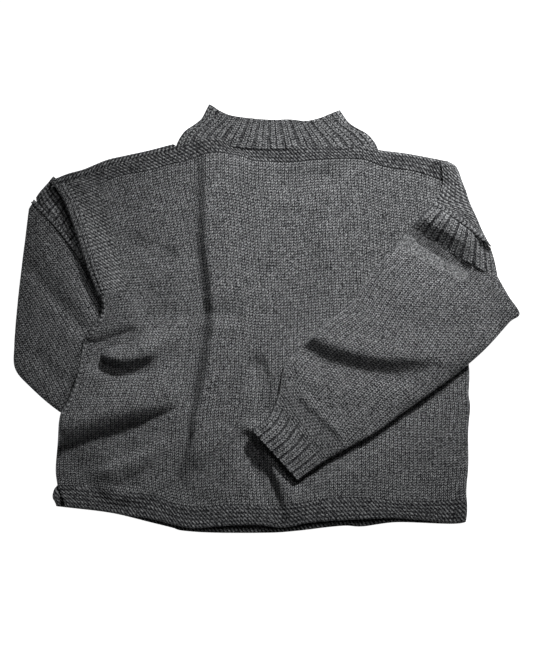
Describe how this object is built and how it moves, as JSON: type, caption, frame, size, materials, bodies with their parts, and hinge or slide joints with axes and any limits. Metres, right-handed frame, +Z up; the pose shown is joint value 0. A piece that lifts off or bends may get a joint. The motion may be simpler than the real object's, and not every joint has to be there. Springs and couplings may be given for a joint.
{
  "type": "sweater",
  "caption": "Hand-knit pullover laid flat: ribbed collar and cuffs, garter-stitch bands and split hem welts, one sleeve folded over the front, one under the back.",
  "frame": {"origin": "centre of the laid-out pullover's bounding box, at the surface it lies on", "axes": "+X to the picture's right across the body, +Y towards the collar, +Z up off the surface, out of the front"},
  "size_m": [0.7189, 0.6145, 0.0287],
  "materials": {
    "plain_knit": "matte heathered wool in stocking stitch",
    "garter_knit": "matte heathered wool in garter stitch",
    "rib_knit": "matte heathered wool in two-by-two rib"
  },
  "bodies": {
    "root": {"armhole_band_left": "garter_knit", "armhole_band_right": "garter_knit", "back": "plain_knit", "collar": "rib_knit", "cuff_left": "rib_knit", "cuff_right": "rib_knit", "front": "plain_knit", "sleeve_left": "plain_knit", "sleeve_right": "plain_knit", "sleeve_top_left": "rib_knit", "sleeve_top_right": "rib_knit", "top_band_front": "garter_knit", "welt_back": "garter_knit", "welt_front": "garter_knit", "yoke_back": "garter_knit"}
  },
  "joints": []
}
